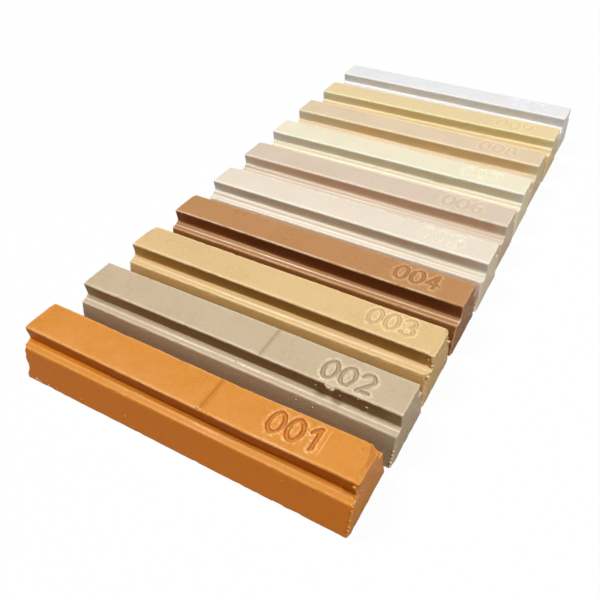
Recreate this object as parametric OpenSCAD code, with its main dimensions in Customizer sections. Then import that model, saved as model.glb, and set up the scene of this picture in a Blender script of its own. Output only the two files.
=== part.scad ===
// A set of hard wax filler sticks for repairing furniture, laid side by side.
// Every stick is one solid casting in its own colour. It stands on a foot with
// sloping sides. A ledge runs along each side, with a shallow gutter and a fine
// raised line next to a narrower ridge, and the ridge has the flat face that
// takes the number.
// X runs along the sticks, Y across the row and Z up from the underside.

/* [Stick] */
// Length of a stick
stick_len = 80; // [60:1:120]
// Height from the underside to the top face
stick_h = 12.5; // [11:0.1:16]
// Width of the underside
base_w = 16.2; // [14.5:0.1:20]
// Width across the two ledges
shoulder_w = 12.6; // [12.3:0.1:14]

/* [Ridge] */
// Width of the top face, with its rounded edges
ridge_w = 9; // [7:0.1:9.2]
// Height of the top face above the ledges
ridge_h = 4; // [3:0.1:5]
// How far each ridge wall leans inwards from its top edge to its root
ridge_lean = 0.45; // [0.2:0.05:0.6]
// Radius of the long top edges
crown_r = 0.5; // [0.2:0.05:0.8]

/* [Ledge] */
// Width of the gutter between the ridge wall and the raised part of the ledge
gutter_w = 0.8; // [0.75:0.05:1]
// Depth of the gutter below the ledge
gutter_depth = 0.05; // [0.05:0.05:0.3]
// Width of the short slope from the gutter up to the raised line
gutter_slope_w = 0.2; // [0.15:0.05:0.35]
// Height of the raised line above the ledge
line_h = 0.08; // [0.05:0.01:0.15]
// Width of the slope from the raised line down to the ledge
line_slope_w = 0.15; // [0.1:0.05:0.25]
// How far the ledge falls from the raised line to its outer edge
ledge_fall = 0.3; // [0.05:0.05:0.4]
// Radius of the hollow corner between the gutter and the ridge wall
root_r = 0.6; // [0.15:0.05:0.65]
// Radius of the outer edge of the ledge
ledge_r = 0.35; // [0.15:0.05:0.45]

/* [Ends and underside] */
// Slope of the end faces, in degrees from upright
end_draft = 0.5; // [0:0.1:2]
// Radius of the top edges of the ends
end_r = 0.2; // [0.15:0.05:0.6]
// Radius of the long edges of the underside
foot_r = 0.25; // [0.1:0.05:0.5]

/* [Row] */
// Clear space between the undersides of neighbouring sticks
stick_gap = 0.8; // [0.3:0.1:3]
// Most that a stick lies ahead of or behind the others along its length
slip = 0.8; // [0:0.1:2]

/* [Hidden] */
NODES = [
    "orange_stick", "taupe_stick", "golden_stick", "brown_stick", "ivory_stick",
    "rose_stick", "cream_stick", "peach_stick", "straw_stick", "white_stick"
];

// The sticks are laid by hand: how far each has slipped, as a share of slip
slip_shares = [-0.45, 0.6, 0.3, 0.55, 0.9, 0.35, 0, -0.3, -0.05, -0.5];
// How far each is turned: the shift of its ends, as a share of half the gap
turn_shares = [0.2, 0, -0.1, -0.25, -0.05, 0.15, 0, -0.2, 0.4, -0.45];

// Straight pieces that stand for each rounded corner
arc_steps = 6;
// How far a cutting solid runs past the stick that it trims
overrun = 1;

pitch = base_w + stick_gap;
ledge_z = stick_h - ridge_h;
gutter_z = ledge_z - gutter_depth;
line_z = ledge_z + line_h;
// Half widths at the ridge root, at the gutter's outer edge, at the raised line
// and where its slope meets the ledge
root_y = ridge_w / 2 - ridge_lean;
gutter_y = root_y + gutter_w;
line_y = gutter_y + gutter_slope_w;
flat_y = line_y + line_slope_w;
// Height to which the ridge reaches down inside the foot
anchor_z = gutter_z / 2;

function unit(v) = v / norm(v);

// Points of the arc that rounds the corner c between the points a and b
function rounded(a, c, b, r) =
    let (
        u = unit(a - c),
        v = unit(b - c),
        half = acos(u * v) / 2,
        centre = c + unit(u + v) * r / sin(half),
        p = c + u * r / tan(half) - centre,
        q = c + v * r / tan(half) - centre
    )
    [
        for (k = [0 : arc_steps])
            let (t = k / arc_steps)
            centre + (p * sin((1 - t) * (180 - 2 * half)) + q * sin(t * (180 - 2 * half)))
                / sin(180 - 2 * half)
    ];

// Outline through corners that are given as [x, y, radius], a radius of 0 being sharp
function outline(corners) =
    let (n = len(corners))
    [
        for (i = [0 : n - 1])
            let (
                a = corners[(i + n - 1) % n],
                c = corners[i],
                b = corners[(i + 1) % n]
            )
            each c[2] > 0
                ? rounded([a[0], a[1]], [c[0], c[1]], [b[0], b[1]], c[2])
                : [[c[0], c[1]]]
    ];

// The corners of one half, followed by the same corners mirrored
function both_halves(corners) = concat(
    corners,
    [for (i = [len(corners) - 1 : -1 : 0]) [-corners[i][0], corners[i][1], corners[i][2]]]
);

// Cross-section of the foot, from the underside to the ledges and gutters
foot_corners = both_halves([
    [base_w / 2, 0, foot_r],
    [shoulder_w / 2, ledge_z - ledge_fall, ledge_r],
    [flat_y, ledge_z, 0],
    [line_y, line_z, 0],
    [gutter_y, gutter_z, 0]
]);

// Cross-section of the ridge, which flares at its root and reaches into the foot
ridge_corners = both_halves([
    [gutter_y, anchor_z, 0],
    [gutter_y, gutter_z, 0],
    [root_y, gutter_z, root_r],
    [ridge_w / 2, stick_h, crown_r]
]);

// Half length of the stick at the height z
function half_len(z) = stick_len / 2 - z * tan(end_draft);

// A cross-section drawn out along the stick, past both ends
module drawn_out(corners) {
    rotate([90, 0, 90])
        linear_extrude(height = stick_len + 2 * overrun, center = true)
            polygon(outline(corners));
}

// The side view up to the height top, drawn out across the stick
module side_view(top) {
    rotate([90, 0, 0])
        linear_extrude(height = base_w + 2 * overrun, center = true)
            polygon(outline(both_halves([
                [half_len(0), 0, 0],
                [half_len(top), top, end_r]
            ])));
}

// One tier of the stick: its cross-section trimmed to the side view
module tier(corners, top) {
    intersection() {
        drawn_out(corners);
        side_view(top);
    }
}

module stick() {
    union() {
        tier(foot_corners, line_z);
        tier(ridge_corners, stick_h);
    }
}

last = len(NODES) - 1;
turns = [for (s = turn_shares) asin(s * stick_gap / stick_len)];
row_y = [for (i = [0 : last]) (i - last / 2) * pitch];
slips = [for (s = slip_shares) s * slip];

// How far a turned underside reaches from its own middle, along X and along Y
function reach_x(i) = stick_len / 2 * cos(turns[i]) + base_w / 2 * abs(sin(turns[i]));
function reach_y(i) = base_w / 2 * cos(turns[i]) + stick_len / 2 * abs(sin(turns[i]));

// Middle of the space that the whole row takes
mid_x = (max([for (i = [0 : last]) slips[i] + reach_x(i)])
    + min([for (i = [0 : last]) slips[i] - reach_x(i)])) / 2;
mid_y = (row_y[last] + reach_y(last) + row_y[0] - reach_y(0)) / 2;

// A stick in its place in the row, counted from the front
module laid_stick(i) {
    translate([slips[i] - mid_x, row_y[i] - mid_y, 0])
        rotate([0, 0, turns[i]])
            stick();
}

module orange_stick() {
    color("#DB9146") laid_stick(0);
}

module taupe_stick() {
    color("#C8B597") laid_stick(1);
}

module golden_stick() {
    color("#DFBF8A") laid_stick(2);
}

module brown_stick() {
    color("#BC8A59") laid_stick(3);
}

module ivory_stick() {
    color("#ECE0CC") laid_stick(4);
}

module rose_stick() {
    color("#DCC4B2") laid_stick(5);
}

module cream_stick() {
    color("#F1E6C8") laid_stick(6);
}

module peach_stick() {
    color("#E3CBA9") laid_stick(7);
}

module straw_stick() {
    color("#E6D09C") laid_stick(8);
}

module white_stick() {
    color("#E9EAEA") laid_stick(9);
}

orange_stick();
taupe_stick();
golden_stick();
brown_stick();
ivory_stick();
rose_stick();
cream_stick();
peach_stick();
straw_stick();
white_stick();
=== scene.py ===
"""Ten cast sticks of hard repair wax, laid side by side on a pale table."""

import math

import bpy
import bmesh
import numpy as np
from mathutils import Matrix, Vector


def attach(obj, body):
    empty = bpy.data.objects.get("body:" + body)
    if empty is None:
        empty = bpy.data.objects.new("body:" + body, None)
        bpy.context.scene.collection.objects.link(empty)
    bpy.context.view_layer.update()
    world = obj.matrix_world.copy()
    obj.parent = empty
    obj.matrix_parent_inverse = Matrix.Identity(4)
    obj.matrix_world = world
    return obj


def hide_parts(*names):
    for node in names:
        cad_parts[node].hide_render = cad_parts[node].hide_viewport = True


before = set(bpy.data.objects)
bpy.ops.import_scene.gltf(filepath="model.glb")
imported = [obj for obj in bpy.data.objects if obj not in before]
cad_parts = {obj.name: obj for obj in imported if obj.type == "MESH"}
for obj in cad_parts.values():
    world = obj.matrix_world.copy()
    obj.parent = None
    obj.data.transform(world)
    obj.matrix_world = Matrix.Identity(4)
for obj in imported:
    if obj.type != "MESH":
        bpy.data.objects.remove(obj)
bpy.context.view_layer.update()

MM = 0.001

# Cross-section of a stick, in millimetres: half widths, heights and radii
FOOT_Y = 8.1
SHOULDER_Y = 6.3
BAND_Y = 5.3
CREST_Y = 5.02
GUTTER_Y = 4.8
ROOT_Y = 4.05
CROWN_Y = 4.5
SHOULDER_Z = 8.24
BAND_Z = 8.37
CREST_Z = 8.53
GUTTER_Z = 8.46
TOP_Z = 12.5
FOOT_R = 0.3
SHOULDER_R = 0.38
BAND_R = 0.2
CREST_R = 0.16
GUTTER_R = 0.2
ROOT_R = 0.4
CROWN_R = 0.45

# Places along a stick for which its hollow corners and its ridge are given
ALONG = (-33.0, -18.0, 0.0, 16.0, 34.0)

# Ends of a stick: the rounded edges, then the rings of the flat face
STICK_LEN = 80.0
END_SLOPE = math.tan(math.radians(0.5))
END_R = 0.14
END_STEPS = 3
CAP_CENTRE_Z = 4.6
CAP_RINGS = 18
CAP_CROWDING = 1.15
# Where the edges of the end faces begin, from the middle of a stick
END_ZONE_X = 39.3

# Spacing of the mesh, on the faces of the cross-section and along a stick
WALL_STEP = 0.34
LEDGE_STEP = 0.17
TOP_STEP = 0.36
BOTTOM_STEP = 1.0
STATION_STEP = 0.5
NUMBER_STEP = 0.36
END_STEP = 0.22
END_STEP_REACH = 2.4
SEAM_STEP = 0.14
ARC_STEPS = 4
TOP_CUTS = 2
# How far in from a worn end the top is split finer
TOP_WEAR_REACH = 2.2

# The number pressed into the top face, with the space round it that its rims take
DIGIT_H = 4.7
DIGIT_W = 2.75
STROKE_W = 0.8
NUMBER_MARGIN = 1.5
PITCH = 3.95
DIGIT_ARC_POINTS = 21

# Unevenness of the casting: height and size of each layer, and its stretch if any
CAST_WAVES = [(0.045, 11.0), (0.02, 2.6, (2.0, 1.0, 1.0)), (0.008, 0.9)]
# Fine lines along the sloping faces
DRAWN_LINES = (0.016, 0.45, (24.0, 1.0, 1.0))
# Bumps and pits of the end faces
END_BUMP_SIZE = 0.75
END_BUMP_H = 0.05
END_PIT_DEPTH = 0.1
# What the outer edges lose, in patches, and the bumps they keep
EDGE_LOSS = 0.09
EDGE_PATCH_SIZE = 1.3
EDGE_BUMPS = (0.03, 0.5)
# Bumps of the floor of the hollow, and unevenness of dents and lumps
HOLLOW_BUMPS = (0.04, 2.5)
DENT_WAVES = (0.4, 0.4)
LUMP_WAVES = (0.5, 0.7)

# Outline of the pressed number: its wobble, and the slope of its walls
WOBBLE = (0.08, 0.8)
FINE_WOBBLE = (0.03, 0.35)
GROOVE_INSET = 0.03
GROOVE_SLOPE = 0.15
# Lines round it: distance from the edge of its strokes, and width; the crease takes painted shade
CREASE = (-0.1, 0.09)
RIM = (0.2, 0.13)
OUTER_RIM = (0.5, 0.12)
RIM_H = 0.13
OUTER_RIM_H = 0.08
# How the rims come and go: size of the patches, mean and swing
RIM_PATCHES = (0.6, 0.55, 0.9)
OUTER_RIM_PATCHES = (0.9, 0.5, 1.4)
# The wrinkled wax round the number
HALO_REACH = 0.9
HALO_BUMPS = (0.06, 0.42)
WRINKLE_SIZE = 0.8
WRINKLE_W = 0.17
WRINKLE_H = 0.09
# Line that a second faint number leaves
ECHO_W = 0.1
ECHO_H = 0.06
# Line that the edge of the stamp leaves, with half its length
STAMP_REACH = 3.4
STAMP_W = 0.1
STAMP_H = 0.08
# Seam across the top
SEAM_W = 0.12
SEAM_DEPTH = 0.12

# Slight wear where a stick names none: places across the top and up a corner, how
# far it reaches in, how deep it is and how much a corner loses
WEAR_Y = (-4.3, -1.5, 1.5, 4.3)
WEAR_Z = (0, 4, 8.2, 8.65, 12.5)
SLIGHT_REACH = (0.15, 0.3)
SLIGHT_DROP = (0.05, 0.14)
SLIGHT_LOSS = (0.05, 0.25)
# How unevenly worn tops and corners reach in and go down
REACH_WAVES = (0.22, 1.1)
DROP_WAVES = (0.2, 0.8)
RIPPLES = (0.1, 0.55)
CORNER_WAVES = (0.4, 0.9)
FINE_CORNER_WAVES = (0.35, 0.4)
# Direction that a worn corner faces, along a stick and across it
CORNER_FACING = (0.86, 0.51)

# Fine crumbs: how many lie on a stick, how far along it, and their radii
CRUMBS = 12
CRUMB_REACH = 38.0
CRUMB_R = (0.05, 0.09)

# Painted highlight lines along a stick: place across and up, width, and reach in widths
CREST_LINE = (CREST_Y + 0.08, CREST_Z - 0.05, 0.1, 1.6)
LIP_LINE = (SHOULDER_Y - 0.06, SHOULDER_Z - 0.08, 0.13, 1.7)
ARRIS_LINE = (CROWN_Y - 0.22, TOP_Z - 0.06, 0.12, 1.7)
# Painted light on the walls: how much and from where, towards the left end and at both ends
PAINTED_LIGHT_LEFT, PAINTED_LIGHT_LEFT_X = 0.27, -12.0
PAINTED_LIGHT_END, PAINTED_LIGHT_END_X = 0.3, 35.5
PAINTED_LIGHT_TINT = 2.0

# Patterns in the wax and their relief
CLOUD_SIZE = 9 * MM
MOTTLE_SIZE = 1.3 * MM
GRAIN_SIZE = 0.42 * MM
FLECK_SIZE = 0.5 * MM
STREAK_SIZE = 0.3 * MM
STREAK_SCALE = (0.06, 1.0, 1.0)
STREAK_H = 0.04 * MM
DIMPLE_H = 0.03 * MM
GRAIN_H = 0.05 * MM
# Tints of those patterns, of outer edges, lighter partly as rubbed wear and partly as painted
# highlight, and of broken faces
CLOUD_TINTS = ((0.96, 0.95, 0.92), (1.03, 1.03, 1.04))
MOTTLE_TINT = (1.03, 1.05, 1.1)
GRAIN_TINT = (0.91, 0.87, 0.81)
FLECK_TINT = (1.15, 1.25, 1.5)
RUBBED_AND_HIGHLIGHT_TINT = (1.12, 1.16, 1.2)
BROKEN_TINT = (1.02, 0.95, 0.9)
# White in the painted highlight lines, and the share of the wax's own colour in them
HIGHLIGHT_WHITE = (0.54, 0.51, 0.42)
HIGHLIGHT_SHARE = (0.45, 0.45, 0.47)
# The same for the rims of the pressed number, painted pale partly as crumbly wax and partly as
# painted highlight
RIM_WHITE = (0.22, 0.19, 0.11)
RIM_SHARE = (0.98, 0.98, 0.98)
# Light that the sheen adds, so that much is taken off the colour
SHEEN = 0.005
# Gloss where the wax is smooth and where it is dull
GLOSSY, DULL = 0.5, 0.1
# Roughness, how far it varies, and what breaks and crumbs add to it
ROUGHNESS = 0.33
ROUGHNESS_RANGE = 0.09
WORN_ROUGHNESS = 0.15
# How far red, green and blue light go into the wax
GLOW_COLOURS = (1.0, 0.6, 0.35)
GLOW_DEPTH = 4.0 * MM

# The photographed view: a point near the first number, and where the camera
# stands from it
CAMERA_TARGET = (7.57 * MM, -45.06 * MM, 12.5 * MM)
CAMERA_AZIMUTH = 30.55
CAMERA_ELEVATION = 41.73
CAMERA_ROLL = -1.335
CAMERA_DISTANCE = 142.05 * MM
CAMERA_LENS = 38.2
SENSOR = 36.0

# The table top and the room
TABLE_REACH = 1.5
TABLE_DROP = 0.02 * MM
TABLE_SEEN = 0.9
FLOOR_BOUNCE = 0.45
FLOOR_GLOW = 0.95
WORLD_LEVEL = 0.05
# Name, place, width and power of each lamp
LAMPS = [
    ("left_softbox", (-0.36, -0.08, 0.84), 0.24, 5.0),
    ("right_softbox", (0.48, -0.12, 0.76), 0.24, 4.7),
]

# Strokes of the digits in a box one high and one wide: arcs are
# (centre x, centre y, radius x, radius y, first angle, last angle) and lines
# are (x, y, x, y)
DIGITS = {
    "0": [(0.5, 0.5, 0.5, 0.5, 0, 360)],
    "1": [(0.16, 0.72, 0.62, 1.0), (0.62, 1.0, 0.62, 0.0)],
    "2": [(0.5, 0.72, 0.46, 0.28, 165, -35), (0.88, 0.56, 0.06, 0.0), (0.06, 0.0, 0.96, 0.0)],
    "3": [(0.46, 0.75, 0.42, 0.25, 150, -90), (0.46, 0.25, 0.5, 0.25, 90, -150)],
    "4": [(0.7, 0.0, 0.7, 1.0), (0.7, 1.0, 0.02, 0.3), (0.02, 0.3, 1.0, 0.3)],
    "5": [(0.9, 1.0, 0.16, 1.0), (0.16, 1.0, 0.1, 0.56), (0.46, 0.33, 0.5, 0.33, 130, -140)],
    "6": [(0.5, 0.3, 0.46, 0.3, 0, 360), (0.9, 0.42, 0.86, 0.58, 100, 190)],
    "7": [(0.04, 1.0, 0.96, 1.0), (0.96, 1.0, 0.36, 0.0)],
    "8": [(0.5, 0.76, 0.38, 0.24, 0, 360), (0.5, 0.26, 0.48, 0.26, 0, 360)],
    "9": [(0.5, 0.7, 0.46, 0.3, 0, 360), (0.1, 0.58, 0.86, 0.58, -80, 10)],
}


class Stick:
    """One stick of the row, with the values of a stick that gives none of its own.

    Places and sizes are in millimetres: along the stick, across it and upwards.
    Tints are shares of the red, green and blue of the wax.
    """

    # Start and middle of the pressed number, and its depth
    number_x = 22.5
    number_y = 0.3
    press = 0.36
    # Strength of the painted highlight lines on the raised line, the top's edges and the ledge's
    # edge
    crest = 0.3
    arris = 0.25
    lip = 0.1
    # Tints of painted shade on the ledge, in the hollow beside the ridge and on the end faces
    ledge = (0.92, 0.9, 0.86)
    basin = (0.92, 0.9, 0.86)
    cut = (1.0, 0.9, 0.74)
    # Painted shade on the lowest part of the foot: its brightness as a share of the rest of it
    low_foot_shade = 0.7
    # Where the floor of the hollow starts to rise, and over what width
    basin_y = 4.92
    basin_w = 0.55
    # Place of a seam across the top, shift of a second faint number, and place of
    # the line left by the stamp's edge
    seam_x = None
    echo = None
    stamp_x = None
    # Share of the fine relief on the top, how much light goes into the wax and how
    # rough the ends are
    relief = 1.0
    glow = 0.1
    end_wear = 0.5
    # Worn places and loose bits
    top_wear = ()
    corner_wear = ()
    dents = ()
    lumps = ()
    specks = ()

    def __init__(self, node, number, top, wall, foot, groove, hollow, ridge, **details):
        self.node = node
        self.number = number
        self.seed = int(number)
        self.top = top
        self.wall = wall
        self.foot = foot
        self.groove = groove
        self.hollow = hollow
        self.ridge = ridge
        for name, value in details.items():
            setattr(self, name, value)


# The paler sticks at the back: smoother tops, and more light goes into the wax
BACK_ROW = {"relief": 0.25, "glow": 0.4}

# top is the colour of the top face as it shows, 0 to 255; wall, foot and groove,
# the pressed number, are tints of painted shade, and wall tints above 1 paint light
# onto the walls of the pale sticks at the back
# hollow and ridge: height of the hollow's floor and sideways shift of the ridge, for
# the places in ALONG
# top_wear: which end, then (across, how far the slope reaches in, how deep it is)
# corner_wear: which end, which side, then (height, how much is gone)
# dents, lumps and specks: (along, across, height, radius), with a depth for the dents
STICKS = [
    Stick(
        "orange_stick", "001", (223, 148, 64), (0.86, 0.45, 0.03), (1.22, 0.87, 0.42),
        number_x=20.95, number_y=0.4, press=0.46, groove=(0.81, 0.72, 0.6),
        crest=0.16, arris=0.42, lip=0.0, ledge=(0.89, 0.91, 0.75), low_foot_shade=1.0,
        basin=(1.1, 0.98, 0.6), basin_y=4.76, basin_w=0.2,
        hollow=(8.8, 8.9, 8.96, 8.93, 8.64), ridge=(0.13, 0.0, -0.15, -0.29, -0.02),
        seam_x=6.4, stamp_x=30.9, end_wear=0.7,
        top_wear=[
            (1, [(-4.3, 0.85, 0.35), (-1.0, 0.85, 0.6), (1.0, 0.9, 0.9), (2.8, 1.2, 1.3),
                 (4.3, 1.75, 1.7)]),
            (-1, [(-4.3, 0.35, 0.2), (-2.0, 0.2, 0.1), (3.0, 0.3, 0.15), (4.3, 0.7, 0.3)])],
        corner_wear=[
            (-1, -1, [(0, 0.5), (2.5, 0.78), (5.2, 0.36), (7.1, 0.42), (8.2, 0.6), (8.65, 0.2),
                      (12.5, 0.3)]),
            (1, -1, [(0, 0.5), (1.5, 0.2), (6.3, 0.12), (8.2, 0.35), (8.65, 0.3), (10.5, 0.5),
                     (12.5, 0.25)])],
        dents=[
            (-31.0, 2.0, 12.5, 0.3, 0.2), (-10.8, -7.0, 5.2, 0.3, 0.25),
            (39.3, -4.3, 10.4, 0.4, 0.2), (39.9, -7.1, 6.6, 0.5, 0.25),
            (39.9, -6.5, 8.1, 0.4, 0.2)],
        lumps=[
            (-9.3, -4.6, 8.4, 0.3), (-8.6, -4.5, 8.42, 0.24), (-7.6, -4.6, 8.4, 0.3),
            (4.8, -4.4, 8.45, 0.26), (5.6, -4.5, 8.42, 0.3), (6.9, -4.4, 8.45, 0.24),
            (39.2, -4.6, 11.6, 0.3), (39.5, -4.55, 10.8, 0.26), (39.6, -4.5, 9.9, 0.24),
            (39.7, -4.7, 8.7, 0.26), (39.75, -6.2, 8.05, 0.26), (39.85, -6.6, 7.1, 0.18),
            (39.85, -7.45, 3.3, 0.2), (39.85, -7.65, 2.3, 0.22), (39.8, -7.1, 5.0, 0.14),
            (5.9, -4.3, 12.4, 0.22), (8.3, -4.3, 12.42, 0.18), (-10.4, -4.7, 8.45, 0.2),
            (-9.9, -5.0, 8.45, 0.16), (-6.9, -4.9, 8.45, 0.18), (37.2, 2.7, 12.46, 0.24),
            (38.0, 2.3, 12.42, 0.3), (38.4, 1.8, 12.3, 0.26), (37.6, 1.9, 12.45, 0.22),
            (38.1, 2.9, 12.35, 0.26), (38.2, 0.6, 12.4, 0.22), (38.5, -0.6, 12.4, 0.2),
            (38.7, -2.0, 12.35, 0.24), (38.9, -3.4, 12.3, 0.22)],
        specks=[
            (5.4, -4.2, 12.42, 0.13), (6.2, -4.0, 12.47, 0.15), (6.7, -4.15, 12.42, 0.17),
            (7.3, -4.3, 12.35, 0.12), (8.1, -4.35, 12.35, 0.18), (8.5, -4.45, 12.25, 0.13),
            (37.9, 2.5, 12.5, 0.12), (37.5, 1.7, 12.5, 0.12), (-9.2, -4.8, 8.55, 0.15),
            (-8.5, -4.95, 8.52, 0.13), (-7.7, -4.8, 8.55, 0.17), (-35.5, 1.9, 12.5, 0.12),
            (-30.0, -1.4, 12.5, 0.1), (-12.0, -4.0, 12.45, 0.12), (-3.7, -4.1, 12.4, 0.12),
            (-11.2, -7.5, 3.0, 0.12), (-36.9, -7.93, 0.95, 0.24), (-36.4, -7.98, 0.65, 0.18),
            (-35.8, -8.0, 0.5, 0.16), (-33.7, -7.7, 1.95, 0.12), (-33.3, -7.92, 0.85, 0.17),
            (-30.8, -7.9, 0.95, 0.13), (-23.5, -7.8, 1.45, 0.14), (-24.7, -5.9, 8.33, 0.14),
            (12.5, 1.5, 12.5, 0.12), (14.6, -0.6, 12.5, 0.1), (40.0, -1.0, 6.5, 0.1),
            (39.95, -3.0, 8.9, 0.1), (39.95, -4.6, 7.4, 0.1)]),
    Stick(
        "taupe_stick", "002", (206, 186, 156), (0.54, 0.53, 0.35), (0.8, 0.88, 0.84),
        number_x=22.8, number_y=-0.6, groove=(0.76, 0.74, 0.7),
        crest=1.3, arris=0.35, lip=0.3, ledge=(0.9, 0.91, 0.91), basin=(0.96, 0.95, 0.94),
        cut=(0.96, 0.88, 0.78),
        hollow=(8.9, 8.83, 8.8, 8.88, 8.56), ridge=(0.04, 0.13, 0.18, 0.1, 0.05),
        seam_x=8.1, echo=(0.85, -0.15), end_wear=1.1,
        corner_wear=[(1, -1, [(0, 0.5), (2.0, 0.45), (4.0, 0.2), (8.2, 0.12), (12.5, 0.1)])],
        dents=[
            (-29.5, -4.5, 12.35, 1.1, 0.3), (-14.6, -4.8, 8.35, 0.35, 0.25),
            (26.6, -4.5, 12.35, 0.8, 0.18)],
        lumps=[
            (24.6, -4.55, 12.2, 0.55), (25.2, -4.65, 12.05, 0.5), (23.9, -4.45, 12.3, 0.35),
            (32.7, -4.35, 10.6, 0.2), (2.8, -5.0, 8.45, 0.22), (37.9, -2.9, 12.45, 0.12),
            (39.7, 5.6, 8.3, 0.4), (39.75, 4.6, 9.3, 0.22), (39.85, -7.75, 1.9, 0.22),
            (39.85, -7.6, 2.9, 0.16), (39.85, -7.35, 3.7, 0.2), (39.85, -7.15, 4.9, 0.16),
            (39.8, -7.95, 0.9, 0.2)],
        specks=[
            (18.2, -6.6, 6.9, 0.12), (22.0, -6.65, 6.8, 0.12), (21.5, -4.35, 10.9, 0.13),
            (26.9, -4.35, 10.8, 0.1), (32.6, -4.45, 10.7, 0.14), (30.8, -4.6, 12.25, 0.1)]),
    Stick(
        "golden_stick", "003", (229, 197, 144), (0.71, 0.52, 0.27), (1.12, 0.95, 0.73),
        number_x=24.35, number_y=0.7, press=0.26, groove=(0.87, 0.86, 0.88),
        crest=0.6, arris=0.3, lip=0.2, ledge=(0.93, 0.9, 0.82), basin=(0.98, 0.94, 0.88),
        cut=(0.94, 0.84, 0.66),
        hollow=(8.76, 8.82, 8.96, 8.9, 8.65), ridge=(0.25, 0.25, 0.22, 0.18, 0.18),
        echo=(0.3, 0.25), end_wear=1.7,
        top_wear=[
            (1, [(-4.3, 1.7, 0.9), (-3.4, 1.1, 0.5), (-1.5, 0.5, 0.3), (2.0, 0.3, 0.2),
                 (4.3, 0.8, 0.7)]),
            (-1, [(-4.3, 0.5, 0.3), (1.0, 0.3, 0.2), (4.3, 0.6, 0.4)])],
        corner_wear=[
            (-1, 1, [(0, 0.6), (7.0, 0.8), (8.65, 1.0), (10.5, 1.3), (12.5, 1.45)]),
            (1, -1, [(0, 0.3), (4.0, 0.5), (8.1, 0.7), (8.65, 0.5), (10.0, 0.8), (12.5, 0.7)]),
            (1, 1, [(0, 0.3), (5.0, 0.3), (8.65, 0.6), (12.5, 0.3)])],
        dents=[
            (39.0, -4.3, 10.2, 0.4, 0.35), (38.2, -4.3, 11.3, 0.35, 0.3),
            (39.4, -4.2, 11.4, 0.4, 0.3), (39.8, 3.6, 11.5, 0.4, 0.3),
            (39.8, 4.2, 10.8, 0.35, 0.25)],
        lumps=[
            (39.7, 4.3, 10.2, 0.3), (39.9, 5.2, 8.4, 0.4), (39.6, -3.9, 9.2, 0.4),
            (38.7, -4.2, 10.8, 0.2), (39.3, -4.2, 12.0, 0.22), (38.9, -4.3, 12.2, 0.16),
            (39.6, -6.0, 7.9, 0.35)],
        specks=[(39.95, 2.2, 9.0, 0.12), (39.95, 4.2, 3.5, 0.14), (25.9, -5.1, 8.5, 0.13)]),
    Stick(
        "brown_stick", "004", (195, 144, 97), (0.45, 0.3, 0.2), (0.66, 0.49, 0.3),
        number_x=23.25, number_y=0.4, press=0.28, groove=(0.84, 0.8, 0.74),
        crest=1.1, arris=0.85, lip=0.45, ledge=(0.79, 0.76, 0.68), basin=(0.74, 0.74, 0.68),
        cut=(0.72, 0.6, 0.5),
        hollow=(8.76, 8.68, 8.46, 8.4, 8.4), ridge=(0.32, 0.32, 0.25, 0.14, 0.18), end_wear=0.9,
        corner_wear=[
            (1, -1, [(0, 0.4), (8.2, 0.3), (12.5, 0.15)]), (-1, 1, [(0, 0.4), (12.5, 0.5)])],
        lumps=[(39.8, 6.2, 7.6, 0.4), (39.9, 6.9, 4.2, 0.3)],
        specks=[(39.9, 5.6, 8.0, 0.14), (23.7, -5.1, 8.5, 0.14), (30.5, -5.1, 8.5, 0.14)]),
    Stick(
        "ivory_stick", "005", (243, 231, 214), (1.14, 1.1, 1.06), (1.0, 0.92, 0.82),
        number_y=0.2, press=0.2, groove=(0.97, 0.95, 0.93), ledge=(0.88, 0.84, 0.81),
        hollow=(9.15, 9.05, 9.0, 9.0, 8.9), ridge=(0.5, 0.46, 0.46, 0.36, 0.4),
        **BACK_ROW,
        corner_wear=[(-1, 1, [(0, 0.3), (12.5, 0.5)]), (1, -1, [(0, 0.5), (12.5, 0.2)])]),
    Stick(
        "rose_stick", "006", (227, 209, 190), (1.12, 1.0, 0.9), (0.96, 0.9, 0.82),
        number_y=0.4, press=0.2, groove=(0.93, 0.91, 0.9), ledge=(0.86, 0.86, 0.87),
        hollow=(9.1, 9.0, 8.95, 8.85, 8.9), ridge=(0.4, 0.38, 0.38, 0.28, 0.34),
        **BACK_ROW,
        corner_wear=[(1, -1, [(0, 0.4), (12.5, 0.3)])]),
    Stick(
        "cream_stick", "007", (251, 242, 216), (1.1, 1.1, 1.1), (1.0, 0.92, 0.8),
        press=0.2, groove=(0.98, 0.97, 0.94), ledge=(0.85, 0.78, 0.76),
        hollow=(9.15, 9.2, 9.15, 9.1, 9.1), ridge=(0.12, 0.18, 0.22, 0.08, 0.32),
        **BACK_ROW,
        dents=[(-18.0, -4.5, 12.4, 2.4, 0.16), (-4.0, -4.5, 12.4, 3.0, -0.12)]),
    Stick(
        "peach_stick", "008", (237, 216, 185), (1.2, 1.1, 0.9), (0.96, 0.88, 0.76),
        number_y=0.5, press=0.12, groove=(0.95, 0.92, 0.88),
        hollow=(8.95, 8.95, 8.85, 8.85, 8.9), ridge=(0.16, 0.15, 0.1, 0.08, 0.24),
        **BACK_ROW),
    Stick(
        "straw_stick", "009", (247, 225, 178), (1.15, 1.15, 1.15), (0.96, 0.88, 0.74),
        number_y=0.2, press=0.12, groove=(0.95, 0.92, 0.88),
        hollow=(9.15, 9.2, 9.25, 9.25, 9.35), ridge=(0.34, 0.3, 0.26, 0.32, 0.48),
        **BACK_ROW),
    Stick(
        "white_stick", "010", (249, 250, 254), (1.1, 1.1, 1.0), (1.0, 0.98, 0.95),
        number_y=0.4, press=0.12, groove=(0.97, 0.97, 0.97),
        hollow=(9.3, 9.25, 9.25, 9.2, 9.05), ridge=(0.38, 0.3, 0.26, 0.16, 0.16),
        **BACK_ROW),
]


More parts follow.
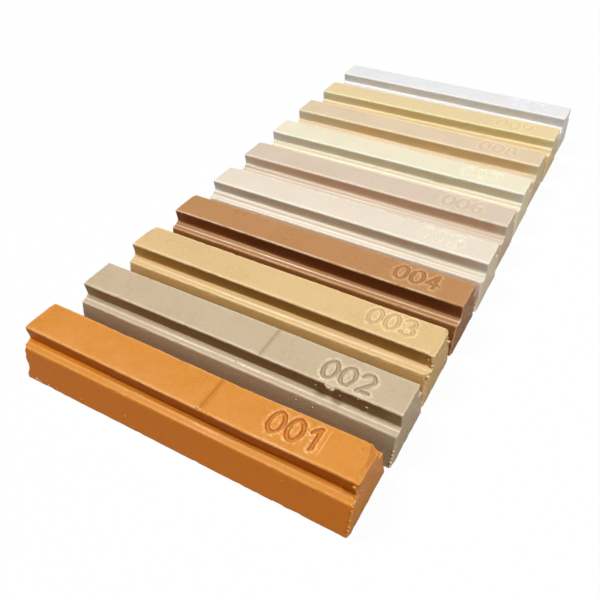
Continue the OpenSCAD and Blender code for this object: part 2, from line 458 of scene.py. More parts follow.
def smooth(t):
    """Eases from 0 to 1 as t goes from 0 to 1."""
    t = np.clip(t, 0.0, 1.0)
    return t * t * (3.0 - 2.0 * t)


def lattice(ix, iy, iz, seed):
    """A fixed random value from -1 to 1 for each whole-numbered point."""
    h = (ix * 73856093) ^ (iy * 19349663) ^ (iz * 83492791) ^ (seed * 40503)
    h = (h ^ (h >> 13)) * 1274126177
    h = h ^ (h >> 16)
    return (h & 0xFFFF) / 32767.5 - 1.0


def noise(points, size, seed, stretch=(1.0, 1.0, 1.0)):
    """Smooth noise from -1 to 1 whose features are about size across."""
    q = points / (np.array(stretch) * size) + 512.0
    cell = np.floor(q).astype(np.int64)
    part = smooth(q - cell)
    total = np.zeros(len(points))
    for dx in (0, 1):
        for dy in (0, 1):
            for dz in (0, 1):
                weight = np.ones(len(points))
                for axis, step in enumerate((dx, dy, dz)):
                    weight *= part[:, axis] if step else 1.0 - part[:, axis]
                total += weight * lattice(*(cell + (dx, dy, dz)).T, seed)
    return total


def waves(points, shape, seed):
    """Noise of the height and size that shape gives, and of its stretch if any."""
    height, size, *stretch = shape
    return height * noise(points, size, seed, *stretch)


def patches(points, shape, seed):
    """How strong something is from place to place, from 0 to 1."""
    size, mean, swing = shape
    return np.clip(mean + swing * noise(points, size, seed), 0.0, 1.0)


def bell(value, middle, width):
    """1 where value is at the middle, and almost 0 from two widths away."""
    return np.exp(-((value - middle) / width) ** 2)


def linear(colour):
    """A display colour, 0 to 255, as scene-linear values."""
    return [
        c / 255.0 / 12.92 if c <= 10.3 else ((c / 255.0 + 0.055) / 1.055) ** 2.4 for c in colour
    ]


def rounded_corner(a, c, b, radius, steps):
    """Points of the arc that rounds the corner c between a and b."""
    a, c, b = np.array(a), np.array(c), np.array(b)
    u = (a - c) / np.linalg.norm(a - c)
    v = (b - c) / np.linalg.norm(b - c)
    half = math.acos(float(u @ v)) / 2
    middle = c + (u + v) / np.linalg.norm(u + v) * radius / math.sin(half)
    p = c + u * radius / math.tan(half) - middle
    q = c + v * radius / math.tan(half) - middle
    sweep = math.pi - 2 * half
    return [
        middle + (p * math.sin((1 - k / steps) * sweep)
                  + q * math.sin(k / steps * sweep)) / math.sin(sweep)
        for k in range(steps + 1)
    ]


def section():
    """The cross-section as a closed loop: its points and how far each is an outer edge."""
    half = [
        (FOOT_Y, 0.0, FOOT_R, ARC_STEPS, WALL_STEP, 1.0),
        (SHOULDER_Y, SHOULDER_Z, SHOULDER_R, ARC_STEPS, LEDGE_STEP, 1.0),
        (BAND_Y, BAND_Z, BAND_R, 1, LEDGE_STEP, 0.0),
        (CREST_Y, CREST_Z, CREST_R, 3, LEDGE_STEP, 0.0),
        (GUTTER_Y, GUTTER_Z, GUTTER_R, 2, LEDGE_STEP, 0.0),
        (ROOT_Y, GUTTER_Z, ROOT_R, ARC_STEPS, WALL_STEP, 0.0),
        (CROWN_Y, TOP_Z, CROWN_R, ARC_STEPS + 1, TOP_STEP, 1.0),
    ]
    mirrored = [
        (-c[0], c[1], c[2], c[3], half[i - 1][4] if i else BOTTOM_STEP, c[5])
        for i, c in reversed(list(enumerate(half)))
    ]
    corners = half + mirrored
    points, edges = [], []
    for i, (y, z, radius, steps, step, edge) in enumerate(corners):
        before, after = corners[i - 1], corners[(i + 1) % len(corners)]
        arc = rounded_corner(before[:2], (y, z), after[:2], radius, steps)
        points += arc
        edges += [edge] * len(arc)
        following = rounded_corner(
            (y, z), after[:2], corners[(i + 2) % len(corners)][:2], after[2], after[3])
        gap = following[0] - arc[-1]
        pieces = max(1, round(float(np.linalg.norm(gap)) / step))
        for k in range(1, pieces):
            points.append(arc[-1] + gap * k / pieces)
            edges.append(0.0)
    return np.array(points), np.array(edges)


def stations(stick):
    """Places of the cross-sections along the straight part of a stick, from -1 to 1."""
    reach = STICK_LEN / 2 - END_R
    first = stick.number_x - DIGIT_W / 2 - NUMBER_MARGIN
    last = first + 3 * PITCH + 2 * NUMBER_MARGIN
    places = [-reach]
    while places[-1] < reach:
        x = places[-1]
        near_end = min(x + reach, reach - x)
        step = STATION_STEP
        if first < x < last:
            step = NUMBER_STEP
        if near_end < END_STEP_REACH:
            step = END_STEP
        places.append(x + step)
    places = np.array(places[:-1])
    places = (places + reach) * 2 * reach / (places[-1] + reach) - reach
    if stick.seam_x is not None:
        near = np.argsort(np.abs(places - stick.seam_x))[:3]
        places[np.sort(near)] = stick.seam_x + np.array((-SEAM_STEP, 0.0, SEAM_STEP))
    return places / reach


def base_mesh(stick):
    """The plain stick as vertices, faces, and how far each vertex is an outer edge."""
    loop, loop_edge = section()
    count = len(loop)
    tangent = np.roll(loop, -1, 0) - np.roll(loop, 1, 0)
    outward = np.stack((tangent[:, 1], -tangent[:, 0]), 1)
    outward /= np.linalg.norm(outward, axis=1)[:, None]

    # The rings of one end, from its rounded edge to the middle of its flat face
    centre = np.array((0.0, CAP_CENTRE_Z))
    shrunk = loop - outward * END_R
    cap = []
    for k in range(1, END_STEPS):
        turn = k / END_STEPS * math.pi / 2
        profile = loop - outward * END_R * (1 - math.cos(turn))
        cap.append((profile, END_R * (1 - math.sin(turn)), np.ones(count)))
    cap.append((shrunk, 0.0, np.ones(count)))
    for scale in 1.0 - (np.arange(1, CAP_RINGS) / CAP_RINGS) ** CAP_CROWDING:
        cap.append((centre + (shrunk - centre) * scale, 0.0, np.zeros(count)))
    rings, edges = [], []

    def add_ring(profile, side, inset, edge):
        """One cross-section, which stops short of the end on that side by inset."""
        reach = STICK_LEN / 2 - profile[:, 1] * END_SLOPE - inset
        rings.append(np.column_stack((side * reach, profile)))
        edges.append(edge)

    for profile, inset, edge in reversed(cap):
        add_ring(profile, -1.0, inset, edge)
    for place in stations(stick):
        reach = STICK_LEN / 2 - loop[:, 1] * END_SLOPE - END_R
        rings.append(np.column_stack((place * reach, loop)))
        edges.append(np.maximum(loop_edge, 1.0 if abs(place) == 1.0 else 0.0))
    for profile, inset, edge in cap:
        add_ring(profile, 1.0, inset, edge)

    verts = np.concatenate(rings)
    edge = np.concatenate(edges)
    faces = []
    for r in range(len(rings) - 1):
        a = r * count
        b = a + count
        for i in range(count):
            j = (i + 1) % count
            faces.append((a + i, a + j, b + j, b + i))
    tip = STICK_LEN / 2 - CAP_CENTRE_Z * END_SLOPE
    left = len(verts)
    verts = np.vstack((verts, (-tip, 0.0, CAP_CENTRE_Z), (tip, 0.0, CAP_CENTRE_Z)))
    edge = np.append(edge, (0.0, 0.0))
    last = (len(rings) - 1) * count
    for i in range(count):
        j = (i + 1) % count
        faces.append((left, j, i))
        faces.append((left + 1, last + i, last + j))
    return verts, faces, edge


def stroke_distance(x, y, strokes):
    """Least distance from each point to the middle of a digit's strokes."""
    best = np.full(len(x), 1e3)
    for stroke in strokes:
        if len(stroke) == 4:
            line = [(stroke[0], stroke[1]), (stroke[2], stroke[3])]
        else:
            cx, cy, rx, ry, first, last = stroke
            line = [
                (cx + rx * math.cos(math.radians(a)), cy + ry * math.sin(math.radians(a)))
                for a in np.linspace(first, last, DIGIT_ARC_POINTS)
            ]
        line = [(p[0] * DIGIT_W - DIGIT_W / 2, (p[1] - 0.5) * DIGIT_H) for p in line]
        for (x1, y1), (x2, y2) in zip(line, line[1:]):
            dx, dy = x2 - x1, y2 - y1
            t = np.clip(((x - x1) * dx + (y - y1) * dy) / (dx * dx + dy * dy), 0, 1)
            best = np.minimum(best, np.hypot(x - x1 - t * dx, y - y1 - t * dy))
    return best


def number_field(points, stick):
    """Distance to the strokes of the pressed number, over the whole mesh."""
    best = np.full(len(points), 1e3)
    for k, digit in enumerate(stick.number):
        x = points[:, 0] - (stick.number_x + k * PITCH)
        y = points[:, 1] - stick.number_y
        best = np.minimum(best, stroke_distance(x, y, DIGITS[digit]))
    return best - STROKE_W / 2


def refine_top(bm, stick):
    """Splits the faces of the top around the number and at the worn ends."""
    x1 = stick.number_x - DIGIT_W / 2 - NUMBER_MARGIN
    x2 = stick.number_x + 2 * PITCH + DIGIT_W / 2 + NUMBER_MARGIN
    ends = [side for side, _ in stick.top_wear]
    chosen = set()
    for face in bm.faces:
        middle = face.calc_center_median()
        if middle.z < TOP_Z - 0.001 or abs(middle.y) > CROWN_Y - CROWN_R:
            continue
        worn = any(middle.x * side > STICK_LEN / 2 - TOP_WEAR_REACH for side in ends)
        if worn or x1 < middle.x < x2:
            chosen.update(face.edges)
    bmesh.ops.subdivide_edges(bm, edges=list(chosen), cuts=TOP_CUTS, use_grid_fill=True)


def half_width(z):
    """Half the width of the plain stick at each height."""
    return np.where(z > CREST_Z + 0.08, CROWN_Y, FOOT_Y - z * (FOOT_Y - SHOULDER_Y) / SHOULDER_Z)


def on_top(points, normals):
    """How far each point is on the top face."""
    return smooth((normals[:, 2] - 0.8) / 0.15) * (points[:, 2] > TOP_Z - 0.1)


def on_end(normals):
    """How far each point is on an end face."""
    return smooth((np.abs(normals[:, 0]) - 0.6) / 0.3)


def on_side(normals):
    """How far each point is on a face that looks sideways."""
    return smooth((np.abs(normals[:, 1]) - 0.75) / 0.2)


def fill_hollows(moved, points, end, stick):
    """Raises the floor of the hollows below the ridge to the height it has along a stick."""
    height = np.interp(points[:, 0], ALONG, stick.hollow)
    height += waves(points, HOLLOW_BUMPS, stick.seed + 60)
    y, z = np.abs(points[:, 1]), points[:, 2]
    inward = np.clip((stick.basin_y - y) / stick.basin_w, 0.0, 1.0)
    corner = 0.18 * np.exp(-np.maximum(y - ROOT_Y - 0.04, 0.0) / 0.14)
    floor = GUTTER_Z + 0.03 + (height - GUTTER_Z) * inward + corner
    near = (y > ROOT_Y - 0.2) & (y < CREST_Y - 0.08) & (z > GUTTER_Z - 0.05) & (z < floor)
    moved[:, 2] += np.where(near & (end < 0.5), floor - z, 0.0)
    # The end faces below the floor follow it
    depth = GUTTER_Z - z
    inner = (height - GUTTER_Z) * inward * smooth(1 - depth / 1.2)
    inner *= smooth((y - ROOT_Y + 0.9) / 0.9)
    moved[:, 2] += np.where((depth > 0.0) & (end >= 0.5) & (y < CREST_Y), inner, 0.0)


def wear_top_end(moved, points, side, shape, seed):
    """Lowers the top towards one end to an irregular slope; gives how far."""
    across, reaches, drops = zip(*shape)
    reach = np.interp(moved[:, 1], across, reaches) * (1 + waves(points, REACH_WAVES, seed))
    drop = np.interp(moved[:, 1], across, drops) * (1 + waves(points, DROP_WAVES, seed + 1))
    short = STICK_LEN / 2 - TOP_Z * END_SLOPE - side * moved[:, 0]
    slope = np.clip(1.0 - short / reach, 0.0, 1.0) ** 0.8
    ripple = np.abs(waves(points, RIPPLES, seed + 2)) * smooth(slope / 0.3)
    worn = TOP_Z - drop * slope - ripple
    over = np.where(slope > 0, np.maximum(moved[:, 2] - worn, 0.0), 0.0)
    moved[:, 2] -= over
    return over


def wear_corner(moved, points, side_x, side_y, shape, seed):
    """Wears an upright edge at one end back to an irregular facet; gives how far."""
    heights, depths = zip(*shape)
    z = moved[:, 2]
    ragged = waves(points, CORNER_WAVES, seed) + waves(points, FINE_CORNER_WAVES, seed + 1)
    depth = np.interp(z, heights, depths) * (1 + ragged)
    facing = np.array(CORNER_FACING) * (side_x, side_y)
    corner = np.stack((side_x * (STICK_LEN / 2 - z * END_SLOPE), side_y * half_width(z)), 1)
    over = np.maximum((moved[:, :2] - corner) @ facing + depth, 0.0)
    moved[:, :2] -= over[:, None] * facing
    return over


def press_top(points, top, stick):
    """The pressed number, its rims and the seam on the top.

    Gives how far they move the surface outwards, and how far each point lies in a
    groove or a dark crease, which take painted shade, or on a pale rim, painted partly
    as crumbly wax and partly as a highlight.
    """
    seed = stick.seed * 20
    press = number_field(points, stick)
    wobble = waves(points, WOBBLE, seed + 8) + waves(points, FINE_WOBBLE, seed + 14)
    groove = smooth(1.0 - (press + wobble + GROOVE_INSET) / GROOVE_SLOPE) * top
    # Painted shade in a crease along the foot of the number's walls
    crease = bell(press + wobble, *CREASE) * top
    inner = bell(press + 2 * wobble, *RIM) * top
    inner *= patches(points, RIM_PATCHES, seed + 10)
    outer = bell(press + 3 * wobble, *OUTER_RIM) * top
    outer *= patches(points, OUTER_RIM_PATCHES, seed + 15)
    halo = smooth(1.0 - (press - RIM[0]) / HALO_REACH) * top * (1 - groove)
    wrinkle = bell(noise(points, WRINKLE_SIZE, seed + 13), 0.0, WRINKLE_W) * halo
    shift = -stick.press * groove * (1 + 0.15 * noise(points, 0.8, seed + 9))
    shift += (RIM_H * inner + WRINKLE_H * wrinkle + OUTER_RIM_H * outer) * stick.relief
    shift += halo * waves(points, HALO_BUMPS, seed + 11)
    # The rims are painted paler than the wax, partly as crumbly wax and partly as painted
    # highlight
    rim = np.maximum(inner, np.maximum(0.8 * wrinkle, outer)) * (0.4 + 0.6 * stick.relief)
    if stick.echo is not None:
        second = number_field(points - np.array((*stick.echo, 0.0)), stick)
        line = bell(second + wobble, 0.0, ECHO_W) * top * (1 - groove)
        shift += ECHO_H * line
        rim = np.maximum(rim, 0.7 * line)
    if stick.stamp_x is not None:
        line = bell(points[:, 0] + 2 * wobble, stick.stamp_x, STAMP_W) * top
        line *= smooth((STAMP_REACH - np.abs(points[:, 1] - stick.number_y)) / 0.8)
        shift += STAMP_H * line
        rim = np.maximum(rim, line)
    if stick.seam_x is not None:
        seam = bell(points[:, 0], stick.seam_x, SEAM_W) * top
        shift -= SEAM_DEPTH * seam
        # The seam takes the same painted shade as the creases
        crease = np.maximum(crease, seam)
    return shift, groove, crease, np.maximum(rim, 0.12 * halo)


def all_wear(stick):
    """The worn tops and corners of a stick, with slight ones where it names none."""
    chance = np.random.default_rng(stick.seed)
    slopes = list(stick.top_wear)
    corners = list(stick.corner_wear)
    worn_ends = [side for side, _ in slopes]
    worn_corners = [corner[:2] for corner in corners]
    for side in (-1, 1):
        if side not in worn_ends:
            slopes.append((side, [
                (y, chance.uniform(*SLIGHT_REACH), chance.uniform(*SLIGHT_DROP)) for y in WEAR_Y
            ]))
        for side_y in (-1, 1):
            if (side, side_y) not in worn_corners:
                corners.append((side, side_y, [(z, chance.uniform(*SLIGHT_LOSS)) for z in WEAR_Z]))
    return slopes, corners


def wear_down(points, normals, edge, stick):
    """Moves the points of the plain stick to those of the cast and worn one.

    Gives the moved points, and how far each is in a groove, in a crease, on a rim
    or on a broken face.
    """
    seed = stick.seed * 20
    top, end, upright = on_top(points, normals), on_end(normals), on_side(normals)
    shift = sum(waves(points, shape, seed + k) for k, shape in enumerate(CAST_WAVES, 1))
    shift *= 1 - (1 - stick.relief) * top
    shift += (1 - top) * (1 - end) * (1 - 0.7 * upright) * waves(points, DRAWN_LINES, seed + 4)
    bumps = noise(points, END_BUMP_SIZE, seed + 5)
    pits = END_PIT_DEPTH * smooth((-bumps - 0.35) / 0.4)
    shift += stick.end_wear * end * (END_BUMP_H * bumps - pits)
    shift -= EDGE_LOSS * edge * smooth((noise(points, EDGE_PATCH_SIZE, seed + 6) - 0.2) / 0.6)
    shift += edge * waves(points, EDGE_BUMPS, seed + 7)
    pressed, groove, crease, rim = press_top(points, top, stick)
    moved = points + normals * (shift + pressed)[:, None]

    fill_hollows(moved, points, end, stick)
    ridge = np.interp(points[:, 0], ALONG, stick.ridge)
    moved[:, 1] += ridge * smooth((points[:, 2] - CREST_Z) / 1.2)
    uneven = 1 + waves(points, DENT_WAVES, seed + 12)
    for *place, radius, depth in stick.dents:
        away = np.linalg.norm(points - np.array(place), axis=1)
        moved -= normals * (depth * smooth(1.0 - away / radius) * uneven)[:, None]

    over = np.zeros(len(points))
    slopes, corners = all_wear(stick)
    for k, (side, shape) in enumerate(slopes):
        over = np.maximum(over, wear_top_end(moved, points, side, shape, seed * 7 + 3 * k))
    for k, (side_x, side_y, shape) in enumerate(corners):
        over = np.maximum(over, wear_corner(moved, points, side_x, side_y, shape, seed * 9 + k))
    moved[:, 2] = np.maximum(moved[:, 2], 0.0)
    return moved, groove, crease, rim, smooth(over / 0.08)


def lump(place, radius, seed):
    """Vertices and faces of a small lump of wax."""
    bm = bmesh.new()
    bmesh.ops.create_icosphere(bm, subdivisions=2, radius=1.0)
    verts = np.array([v.co for v in bm.verts])
    faces = [tuple(v.index for v in f.verts) for f in bm.faces]
    bm.free()
    verts *= (1 + waves(verts, LUMP_WAVES, seed))[:, None]
    return verts * (1.3 * radius, radius, 0.6 * radius) + np.array(place), faces


def cad_place(node):
    """Middle and direction of a stick, from the corners of its underside in the frame."""
    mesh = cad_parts[node].data
    co = np.array([v.co for v in mesh.vertices])
    low = co[co[:, 2] < co[:, 2].min() + 0.01 * MM]
    corners = np.unique(np.round(low[:, :2], 7), axis=0)
    ways = ((1, 1), (1, -1), (-1, -1), (-1, 1))
    far = [corners[np.argmax(corners @ np.array(way))] for way in ways]
    middle = sum(far) / 4
    along = far[0] + far[1] - far[2] - far[3]
    return middle, math.atan2(along[1], along[0])


def new_object(name, data):
    """An object in the scene."""
    item = bpy.data.objects.new(name, data)
    bpy.context.scene.collection.objects.link(item)
    return item


def attribute(mesh, name, values):
    """Stores one value for each vertex, for the material to read."""
    layer = mesh.attributes.new(name, "FLOAT", "POINT")
    layer.data.foreach_set("value", values.astype(np.float32))


def finer_mesh(stick):
    """Points, normals, faces and outer edges of the plain stick with a finer top."""
    verts, faces, edge = base_mesh(stick)
    plain = bpy.data.meshes.new("plain")
    plain.from_pydata(verts.tolist(), [], faces)
    attribute(plain, "edge", edge)
    bm = bmesh.new()
    bm.from_mesh(plain)
    refine_top(bm, stick)
    bm.to_mesh(plain)
    bm.free()

    count = len(plain.vertices)
    points = np.empty(count * 3)
    normals = np.empty(count * 3)
    edge = np.empty(count)
    plain.vertices.foreach_get("co", points)
    plain.vertices.foreach_get("normal", normals)
    plain.attributes["edge"].data.foreach_get("value", edge)
    faces = [tuple(face.vertices) for face in plain.polygons]
    bpy.data.meshes.remove(plain)
    return points.reshape(-1, 3), normals.reshape(-1, 3), faces, edge


def highlight_line(points, line):
    """How near each point is to a painted highlight line that runs along both sides of a stick."""
    y, z, width, reach = line
    away = np.hypot(np.abs(points[:, 1]) - y, points[:, 2] - z)
    return smooth(reach - away / width)


def surface_layers(points, normals, edge, stick):
    """How far each point belongs to each part of the surface with a look of its own."""
    x, y, z = np.abs(points[:, 0]), np.abs(points[:, 1]), points[:, 2]
    top, end, upright = on_top(points, normals), on_end(normals), on_side(normals)
    end_edge = smooth((x - END_ZONE_X) / 0.3)
    # Ridge walls, given painted shade, and painted light on the pale sticks at the back
    wall = smooth((np.abs(normals[:, 1]) - 0.5) / 0.35) * (z > CREST_Z + 0.3)
    # Painted light on the ridge walls, towards the left end and at both ends
    painted_wall_light = wall * (PAINTED_LIGHT_LEFT * smooth((PAINTED_LIGHT_LEFT_X - points[:, 0]) / 20.0)
                   + PAINTED_LIGHT_END * smooth((x - PAINTED_LIGHT_END_X) / 3.0))
    # Foot below the ledge, given painted shade
    foot = upright * (z <= SHOULDER_Z)

    # Painted highlights along the raised line, the ledge's outer edge, the top's edges and the end
    # faces' edges
    crest = highlight_line(points, CREST_LINE) * (0.75 + 0.5 * noise(points, 5.0, stick.seed))
    lip = highlight_line(points, LIP_LINE) * (0.75 + 0.5 * noise(points, 4.0, stick.seed + 11))
    arris = highlight_line(points, ARRIS_LINE) * smooth((normals[:, 2] - 0.1) / 0.5)
    arris += 0.8 * edge * end_edge
    arris *= (0.7 + 0.7 * noise(points, 4.0, stick.seed + 9)
              + 0.4 * noise(points, 0.5, stick.seed + 10))
    pale = (stick.crest * crest + stick.lip * lip) * (1 - end) + stick.arris * arris

    raised = (z > SHOULDER_Z - 0.2) * (z < CREST_Z + 0.3) * (1 - end)
    # Ledge and the hollow beside the ridge, given painted shade
    ledge = smooth((y - CREST_Y - 0.2) / 0.1) * smooth((SHOULDER_Y - 0.1 - y) / 0.25) * raised
    basin = smooth((CREST_Y - 0.05 - y) / 0.2) * (y > ROOT_Y - 0.05) * raised
    return {
        # Outer edges facing up, lightened partly as rubbed wear and partly as painted highlight
        "edge": edge * np.maximum(smooth((normals[:, 2] + 0.05) / 0.4), end_edge),
        "wall": wall,
        "painted_wall_light": painted_wall_light,
        "foot": foot,
        # Painted shade, darker towards the bottom of the foot
        "low_foot_shade": foot * smooth((7.4 - z) / 3.0),
        "end": end,
        "drawn": (1 - top) * (1 - end) * (1 - 0.75 * upright),
        "pale": np.clip(pale, 0.0, 1.0),
        "ledge": ledge,
        "basin": basin,
        "glinting_crumbs": np.zeros(len(points)),
    }


def build_stick(stick):
    """One stick as a mesh object, in place."""
    points, normals, faces, edge = finer_mesh(stick)
    moved, groove, crease, rim, broken = wear_down(points, normals, edge, stick)
    layers = surface_layers(points, normals, edge, stick)
    layers.update(groove=groove, crease=crease, rim=rim, broken=broken)

    verts = [moved]
    count = len(moved)
    # Lumps keep the wax's colour; specks and crumbs are painted pale, partly as crumbs of wax and
    # partly as painted glints
    for glinting_crumbs, bits in ((0.0, stick.lumps), (1.0, [*stick.specks, *sprinkle(stick)])):
        for *place, radius in bits:
            more, triangles = lump(place, radius, stick.seed * 50 + count % 1000)
            faces += [tuple(count + i for i in triangle) for triangle in triangles]
            verts.append(more)
            count += len(more)
            for name, values in layers.items():
                fill = glinting_crumbs if name == "glinting_crumbs" else 0.0
                layers[name] = np.append(values, np.full(len(more), fill))

    mesh = bpy.data.meshes.new(stick.node + "_cast")
    mesh.from_pydata((np.concatenate(verts) * MM).tolist(), [], faces)
    for name, values in layers.items():
        attribute(mesh, name, values)
    mesh.update()
    mesh.shade_smooth()

    piece = new_object(mesh.name, mesh)
    (x, y), turn = cad_place(stick.node)
    piece.matrix_world = Matrix.Translation((x, y, 0.0)) @ Matrix.Rotation(turn, 4, "Z")
    return piece


def sprinkle(stick):
    """Places of the fine crumbs that lie on the top, the front ledge and the sides."""
    chance = np.random.default_rng(100 + stick.seed)
    bits = []
    for _ in range(CRUMBS):
        x = chance.uniform(-CRUMB_REACH, CRUMB_REACH)
        z = chance.uniform(1.0, 7.5)
        place = [
            (x, chance.uniform(-3.8, 3.8), TOP_Z),
            (x, chance.uniform(-6.0, -5.4), 8.33),
            (x, chance.choice((-1.0, 1.0)) * half_width(np.array(z)), z),
        ][chance.integers(3)]
        bits.append((*place, chance.uniform(*CRUMB_R)))
    return bits


class Nodes:
    """Short calls that build a material's node tree."""

    def __init__(self, name):
        self.material = bpy.data.materials.new(name)
        self.material.use_nodes = True
        self.tree = self.material.node_tree
        self.shader = self.tree.nodes["Principled BSDF"]

    def link(self, source, target):
        self.tree.links.new(source, target)

    def add(self, kind, **settings):
        node = self.tree.nodes.new(kind)
        for key, value in settings.items():
            setattr(node, key, value)
        return node

    def put(self, socket, value):
        """Gives an input another node's output, a constant or, by name, a stored value."""
        if isinstance(value, str):
            value = self.attribute(value)
        if isinstance(value, bpy.types.NodeSocket):
            self.link(value, socket)
        else:
            socket.default_value = value

    def surface(self, name, value):
        """Sets one property of the surface."""
        self.put(self.shader.inputs[name], value)

    def place(self, scale, offset):
        """The place on the piece itself, scaled and shifted."""
        coords = self.add("ShaderNodeTexCoord")
        mapping = self.add("ShaderNodeMapping")
        self.link(coords.outputs["Object"], mapping.inputs["Vector"])
        mapping.inputs["Scale"].default_value = scale
        mapping.inputs["Location"].default_value = offset
        return mapping.outputs["Vector"]

    def noise(self, vector, size, detail):
        """Noise whose features are about size across."""
        node = self.add("ShaderNodeTexNoise")
        self.link(vector, node.inputs["Vector"])
        node.inputs["Scale"].default_value = 1.0 / size
        node.inputs["Detail"].default_value = detail
        return node.outputs["Fac"]

    def remap(self, value, from_low, from_high, to_low=0.0, to_high=1.0):
        """Eases from to_low to to_high as value goes from from_low to from_high."""
        node = self.add("ShaderNodeMapRange", interpolation_type="SMOOTHSTEP")
        self.put(node.inputs["Value"], value)
        limits = {"From Min": from_low, "From Max": from_high, "To Min": to_low, "To Max": to_high}
        for name, limit in limits.items():
            node.inputs[name].default_value = limit
        return node.outputs["Result"]

    def math(self, operation, a, b):
        node = self.add("ShaderNodeMath", operation=operation)
        self.put(node.inputs[0], a)
        self.put(node.inputs[1], b)
        return node.outputs[0]

    def mix(self, amount, a, b):
        """Colour a where amount is 0 and b where it is 1."""
        node = self.add("ShaderNodeMix", data_type="RGBA")
        self.put(node.inputs["Factor"], amount)
        self.put(node.inputs["A"], a)
        self.put(node.inputs["B"], b)
        return node.outputs["Result"]

    def attribute(self, name):
        return self.add("ShaderNodeAttribute", attribute_name=name).outputs["Fac"]

    def most(self, *names):
        """The largest of two or more stored values."""
        value = names[0]
        for name in names[1:]:
            value = self.math("MAXIMUM", value, name)
        return value

    def bump(self, height, distance, strength=1.0, normal=None):
        """The normal of a surface that height raises by up to distance."""
        node = self.add("ShaderNodeBump")
        self.put(node.inputs["Height"], height)
        node.inputs["Distance"].default_value = distance
        node.inputs["Strength"].default_value = strength
        if normal is not None:
            self.link(normal, node.inputs["Normal"])
        return node.outputs["Normal"]


def shade(colour, factor):
    """A colour times a tint, as a material takes it."""
    return (*[min(1.0, c * f) for c, f in zip(colour, factor)], 1.0)


def whiten(colour, white, share):
    """White plus a share of a colour, as a material takes it."""
    return (*[min(1.0, w + s * c) for w, s, c in zip(white, share, colour)], 1.0)


def wax_colour(n, stick, plain, clouds, mottle, grain):
    """The colour of the wax: its patterns, then each part of the surface over them, with painted
    shade, painted light and painted highlights.
    """
    body = [max(0.004, c - SHEEN) for c in linear(stick.top)]
    pale = whiten(body, HIGHLIGHT_WHITE, HIGHLIGHT_SHARE)

    def tint(colour, amount, factor):
        """Mixes in the wax's own colour times a factor."""
        return n.mix(amount, colour, shade(body, factor))

    flecks = n.remap(n.noise(plain, FLECK_SIZE, 0.0), 0.74, 0.82)
    # Outer edges lighter, partly as rubbed wear and partly as painted highlight
    rubbed_and_highlit = n.math("MULTIPLY", "edge", n.remap(mottle, 0.3, 0.6, 0.35, 0.9))
    crease = n.math("MULTIPLY", "crease", 0.85)
    broken = n.math("MULTIPLY", "broken", n.remap(mottle, 0.35, 0.65, 0.2, 0.7))
    colour = n.mix(n.remap(clouds, 0.2, 0.8), *[shade(body, factor) for factor in CLOUD_TINTS])
    colour = tint(colour, n.remap(mottle, 0.4, 0.75, 0.0, 0.5), MOTTLE_TINT)
    colour = tint(colour, n.remap(grain, 0.25, 0.75, 0.55, 0.0), GRAIN_TINT)
    # Painted shade on the ridge walls, and painted light on the walls of the pale sticks at the
    # back
    colour = tint(colour, "wall", stick.wall)
    # Painted light on the walls towards the left end and at both ends
    colour = tint(colour, "painted_wall_light", [PAINTED_LIGHT_TINT * c for c in stick.wall])
    # Painted shade on the foot
    colour = tint(colour, "foot", stick.foot)
    # Painted shade, darker towards the bottom of the foot
    colour = tint(colour, "low_foot_shade", [stick.low_foot_shade * c for c in stick.foot])
    # Painted shade on the end faces
    colour = tint(colour, "end", stick.cut)
    colour = tint(colour, n.math("MULTIPLY", flecks, 0.35), FLECK_TINT)
    # Painted shade on the ledge and in the hollow beside the ridge
    colour = tint(colour, "ledge", stick.ledge)
    colour = tint(colour, "basin", stick.basin)
    colour = tint(colour, rubbed_and_highlit, RUBBED_AND_HIGHLIGHT_TINT)
    # Painted highlight lines
    colour = n.mix("pale", colour, pale)
    # Rims painted paler, partly as crumbly wax and partly as painted highlight
    colour = n.mix("rim", colour, whiten(body, RIM_WHITE, RIM_SHARE))
    # Painted shade in the pressed number, darker still in its creases and the seam
    colour = tint(colour, "groove", stick.groove)
    colour = tint(colour, crease, [c ** 3 for c in stick.groove])
    colour = tint(colour, broken, BROKEN_TINT)
    # Specks and crumbs painted pale, partly as crumbs of wax and partly as painted glints
    return n.mix(n.math("MULTIPLY", "glinting_crumbs", 0.7), colour, pale)


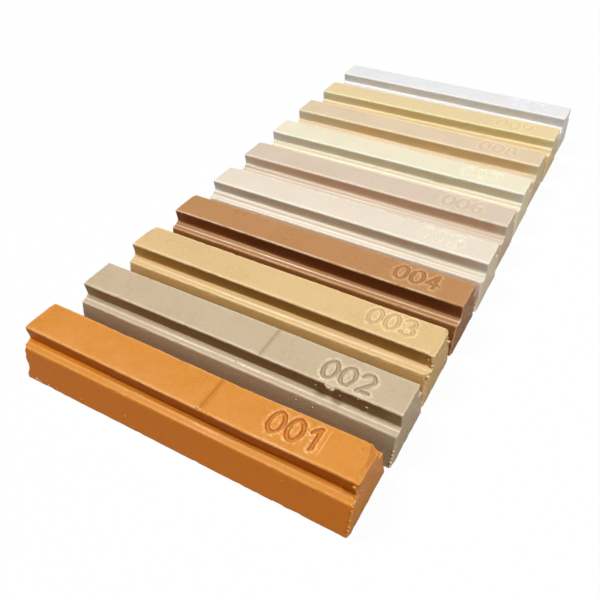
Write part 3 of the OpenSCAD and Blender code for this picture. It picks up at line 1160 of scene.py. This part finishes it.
def wax(stick):
    """Cast wax: faint clouds and grain in the colour, a soft sheen, and edges lightened partly as
    scuffs and partly as painted highlight.
    """
    n = Nodes(stick.node + "_wax")
    offset = (0.13 * stick.seed, 0.07 * stick.seed, 0.0)
    plain = n.place((1.0, 1.0, 1.0), offset)
    clouds = n.noise(plain, CLOUD_SIZE, 3.0)
    mottle = n.noise(plain, MOTTLE_SIZE, 2.0)
    grain = n.noise(plain, GRAIN_SIZE, 2.0)
    streaks = n.noise(n.place(STREAK_SCALE, offset), STREAK_SIZE, 3.0)
    colour = wax_colour(n, stick, plain, clouds, mottle, grain)
    n.surface("Base Color", colour)

    rough_range = ROUGHNESS_RANGE * stick.relief
    rough = n.remap(n.math("ADD", clouds, n.math("MULTIPLY", mottle, 0.6)), 0.5, 1.1,
                    ROUGHNESS - rough_range, ROUGHNESS + rough_range)
    worn = n.math("MULTIPLY", n.most("broken", "glinting_crumbs"), WORN_ROUGHNESS)
    n.surface("Roughness", n.math("ADD", rough, worn))
    n.surface("Subsurface Weight", stick.glow)
    n.surface("Subsurface Radius", GLOW_COLOURS)
    n.surface("Subsurface Scale", GLOW_DEPTH * stick.glow)

    # Upright faces are dull, and the ledge, its hollow and worn edges nearly so
    dull = n.most("wall", "foot", "end")
    dull = n.math("MAXIMUM", dull, n.math("MULTIPLY", "edge", 0.75))
    dull = n.math("MAXIMUM", dull, n.math("MULTIPLY", n.most("ledge", "basin", "crease"), 0.85))
    n.surface("Specular IOR Level", n.remap(dull, 0.0, 1.0, GLOSSY, DULL))

    lines = n.bump(n.math("MULTIPLY", streaks, "drawn"), STREAK_H)
    dimples = n.bump(mottle, DIMPLE_H, stick.relief, lines)
    n.surface("Normal", n.bump(grain, GRAIN_H, stick.relief, dimples))
    return n.material


def add_camera():
    """The camera at the photographed view."""
    az, el, roll = (math.radians(a) for a in (CAMERA_AZIMUTH, CAMERA_ELEVATION, CAMERA_ROLL))
    back = Vector((math.sin(az) * math.cos(el), -math.cos(az) * math.cos(el), math.sin(el)))
    level = Vector((0, 0, 1)).cross(back).normalized()
    upright = back.cross(level)
    right = level * math.cos(roll) + upright * math.sin(roll)
    up = upright * math.cos(roll) - level * math.sin(roll)
    data = bpy.data.cameras.new("camera")
    data.lens = CAMERA_LENS
    data.sensor_width = SENSOR
    data.clip_start = 0.01
    data.clip_end = 20.0
    camera = new_object("camera", data)
    matrix = Matrix((right, up, back)).transposed().to_4x4()
    matrix.translation = Vector(CAMERA_TARGET) + back * CAMERA_DISTANCE
    camera.matrix_world = matrix
    bpy.context.scene.camera = camera


def add_floor():
    """A wide pale table top that shows as white and keeps the shadow."""
    mesh = bpy.data.meshes.new("table_top")
    square = ((-1, -1), (1, -1), (1, 1), (-1, 1))
    corners = [(x * TABLE_REACH, y * TABLE_REACH, 0.0) for x, y in square]
    mesh.from_pydata(corners, [], [(0, 1, 2, 3)])
    floor = new_object("table_top", mesh)
    floor.location.z = -TABLE_DROP
    n = Nodes("table_white")
    path = n.add("ShaderNodeLightPath")
    seen = path.outputs["Is Camera Ray"]
    bounced = (FLOOR_BOUNCE, FLOOR_BOUNCE, FLOOR_BOUNCE, 1.0)
    shown = (TABLE_SEEN, TABLE_SEEN, TABLE_SEEN, 1.0)
    n.surface("Base Color", n.mix(seen, bounced, shown))
    n.surface("Roughness", 0.9)
    n.surface("Specular IOR Level", DULL)
    white = n.add("ShaderNodeEmission")
    blend = n.add("ShaderNodeMixShader")
    n.link(n.math("MULTIPLY", seen, FLOOR_GLOW), blend.inputs["Fac"])
    n.link(n.shader.outputs["BSDF"], blend.inputs[1])
    n.link(white.outputs["Emission"], blend.inputs[2])
    n.link(blend.outputs["Shader"], n.tree.nodes["Material Output"].inputs["Surface"])
    mesh.materials.append(n.material)


def add_light():
    """An even pale room that shows as white, and two soft lamps."""
    world = bpy.data.worlds.new("studio")
    world.use_nodes = True
    bpy.context.scene.world = world
    tree = world.node_tree
    background = tree.nodes["Background"]
    path = tree.nodes.new("ShaderNodeLightPath")
    mix = tree.nodes.new("ShaderNodeMix")
    mix.data_type = "FLOAT"
    tree.links.new(path.outputs["Is Camera Ray"], mix.inputs["Factor"])
    mix.inputs["A"].default_value = WORLD_LEVEL
    mix.inputs["B"].default_value = 1.0
    tree.links.new(mix.outputs["Result"], background.inputs["Strength"])
    background.inputs["Color"].default_value = (1.0, 1.0, 1.0, 1.0)

    for name, place, size, power in LAMPS:
        add_softbox(name, place, size, power)


def add_softbox(name, place, size, power):
    """A square lamp at place that faces the middle of the row."""
    lamp = bpy.data.lights.new(name, "AREA")
    lamp.shape = "SQUARE"
    lamp.size = size
    lamp.energy = power
    box = new_object(name, lamp)
    place = Vector(place)
    box.matrix_world = place.to_track_quat("Z", "Y").to_matrix().to_4x4()
    box.location = place


for stick in STICKS:
    piece = build_stick(stick)
    piece.data.materials.append(wax(stick))
    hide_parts(stick.node)
    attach(piece, "root")

add_floor()
add_light()
add_camera()
bpy.context.scene.view_settings.view_transform = "Standard"
